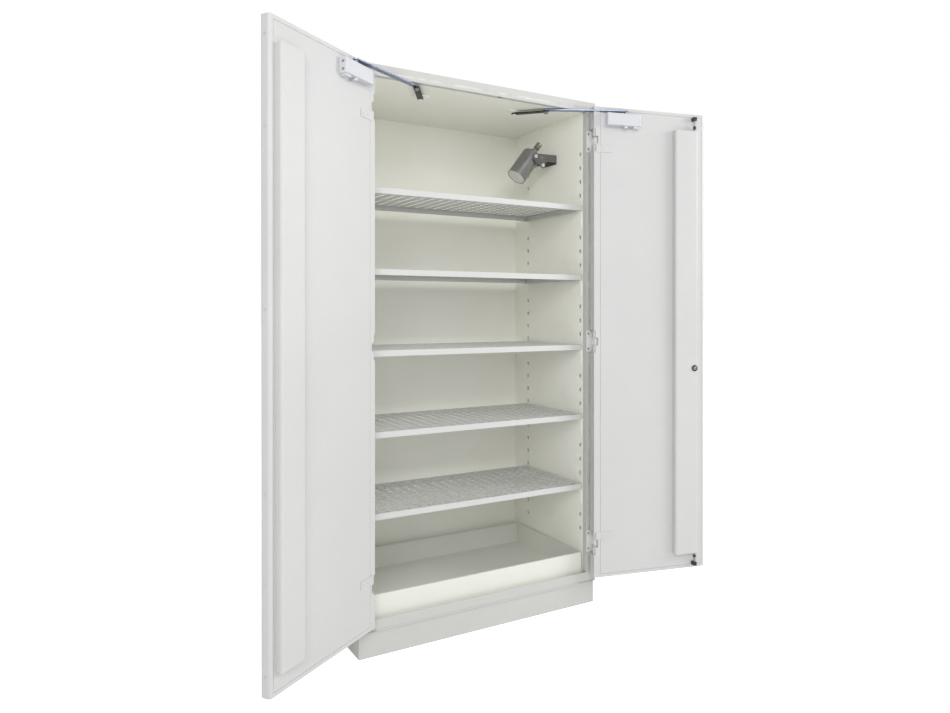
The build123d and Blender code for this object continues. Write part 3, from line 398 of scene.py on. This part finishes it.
# Rolled rim round the canister's pale face, and a bead where its shoulder starts.
CAN_LEAN = math.radians(38.0)
CAN_AXIS = Vector((math.sin(CAN_LEAN), 0, math.cos(CAN_LEAN)))
CAN_FACE_AT = Vector((282.0, -38.0, 1716.0))
CAN_R = 40.0
SHOULDER_AT = 112.0
BEAD_POINTS = 64


def bead(name, along, radius, thickness):
    """A round bead about the canister's axis."""
    curve = bpy.data.curves.new(name, "CURVE")
    curve.dimensions = "3D"
    curve.bevel_depth = thickness * MM
    curve.bevel_resolution = 3
    spline = curve.splines.new("POLY")
    spline.points.add(BEAD_POINTS - 1)
    for step in range(BEAD_POINTS):
        angle = 2 * math.pi * step / BEAD_POINTS
        place = Vector((math.cos(angle), math.sin(angle), 0)) * radius * MM
        spline.points[step].co = (*place, 1)
    spline.use_cyclic_u = True
    curve.materials.append(MATERIALS["stainless"])
    piece = bpy.data.objects.new(name, curve)
    piece.location = (CAN_FACE_AT + CAN_AXIS * along) * MM
    piece.rotation_euler = CAN_AXIS.to_track_quat("Z", "Y").to_euler()
    bpy.context.scene.collection.objects.link(piece)
    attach(piece, "canister")


bead("canister_rim", 1.2, CAN_R - 1.4, 1.6)
bead("canister_bead", SHOULDER_AT, CAN_R - 0.6, 1.0)

# Softly broken edges, in mm by the start of a piece's name. The liner, the boards and the seals have none.
EDGE = {"shelf": 0.5, "liner": 0.0, "insulation": 0.0, "door_board": 0.0, "outer": 0.6, "fire": 0.0}
USUAL_EDGE = 0.7
BEVEL_ANGLE = math.radians(40)
for name, node in NODES.items():
    width = next((w for key, w in EDGE.items() if name.startswith(key)), USUAL_EDGE)
    if width:
        bevel = node.modifiers.new("edge", "BEVEL")
        bevel.width = width * MM
        bevel.segments = 2
        bevel.limit_method = "ANGLE"
        bevel.angle_limit = BEVEL_ANGLE
        bevel.harden_normals = True
        bevel.use_clamp_overlap = True


# ---------------------------------------------------------------- stage
def stage_material(name, colour, rough):
    """A pale, even surface with very faint clouds."""
    s = Shader(name)
    base = s.ramp(s.noise(1.5), ((NOISE_LOW, shade(colour, 0.985)), (NOISE_HIGH, colour)))
    return s.finish(base, s.spread(s.noise(6.0), rough, rough + 0.1))


def seen_level(tree, seen, unseen):
    """A value that is `seen` where the camera looks and `unseen` for light that bounces."""
    rays = tree.nodes.new("ShaderNodeLightPath")
    level = tree.nodes.new("ShaderNodeMapRange")
    level.inputs["To Min"].default_value = unseen
    level.inputs["To Max"].default_value = seen
    tree.links.new(rays.outputs["Is Camera Ray"], level.inputs["Value"])
    return level.outputs["Result"]


FLOOR_HALF = 60.0
FLOOR_GLOW = 0.62
FLOOR_BOUNCE = 0.06
FLOOR_DROP = 0.0005
FLOOR_SHINE = 0.1
FLOOR_WHITE = (0.93, 0.93, 0.93)
floor_mesh = bpy.data.meshes.new("floor")
floor_corners = [(x * FLOOR_HALF, y * FLOOR_HALF, 0) for x, y in ((-1, -1), (1, -1), (1, 1), (-1, 1))]
floor_mesh.from_pydata(floor_corners, [], [(0, 1, 2, 3)])
floor = bpy.data.objects.new("floor", floor_mesh)
floor.location.z = -FLOOR_DROP
bpy.context.scene.collection.objects.link(floor)
floor_white = stage_material("floor_white", FLOOR_WHITE, 0.7)
floor_shader = floor_white.node_tree.nodes["Principled BSDF"]
floor_shader.inputs["Emission Color"].default_value = (1, 1, 1, 1)
floor_glow = seen_level(floor_white.node_tree, FLOOR_GLOW, FLOOR_BOUNCE)
floor_white.node_tree.links.new(floor_glow, floor_shader.inputs["Emission Strength"])
floor_shader.inputs["Specular IOR Level"].default_value = FLOOR_SHINE
floor_mesh.materials.append(floor_white)
floor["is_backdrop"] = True

# A white studio: the backdrop is seen white, and lights the object less than it shows.
AMBIENT = 0.64
BACKDROP = 1.0
world = bpy.data.worlds.new("studio")
bpy.context.scene.world = world
world.use_nodes = True
sky = world.node_tree
backdrop = sky.nodes["Background"]
backdrop.inputs["Color"].default_value = (1.0, 1.0, 1.0, 1)
sky.links.new(seen_level(sky, BACKDROP, AMBIENT), backdrop.inputs["Strength"])


def softbox(name, at, to, size, power):
    """A rectangular lamp, in metres and watts, aimed at a point."""
    light = bpy.data.lights.new(name, "AREA")
    light.shape = "RECTANGLE"
    light.size = size[0]
    light.size_y = size[1]
    light.energy = power
    lamp = bpy.data.objects.new(name, light)
    lamp.location = at
    lamp.rotation_euler = (Vector(to) - Vector(at)).to_track_quat("-Z", "Y").to_euler()
    bpy.context.scene.collection.objects.link(lamp)


softbox("key", at=(-2.3, -3.6, 2.3), to=(0.1, 0.0, 1.0), size=(1.6, 1.6), power=54)
softbox("fill", at=(3.4, -2.3, 2.2), to=(-0.7, -0.4, 1.2), size=(1.6, 1.6), power=72)
softbox("top", at=(-0.5, -4.0, 3.4), to=(0.0, 0.1, 0.9), size=(1.0, 0.6), power=20)
bpy.context.scene.view_settings.view_transform = "Standard"


def plain(values):
    """Vectors or numbers as lists and floats that json can write."""
    return [list(v) if hasattr(v, "__len__") or hasattr(v, "x") else float(v) for v in values]


{"cad": plain(CAD_BOX), "visual": plain(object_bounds())}
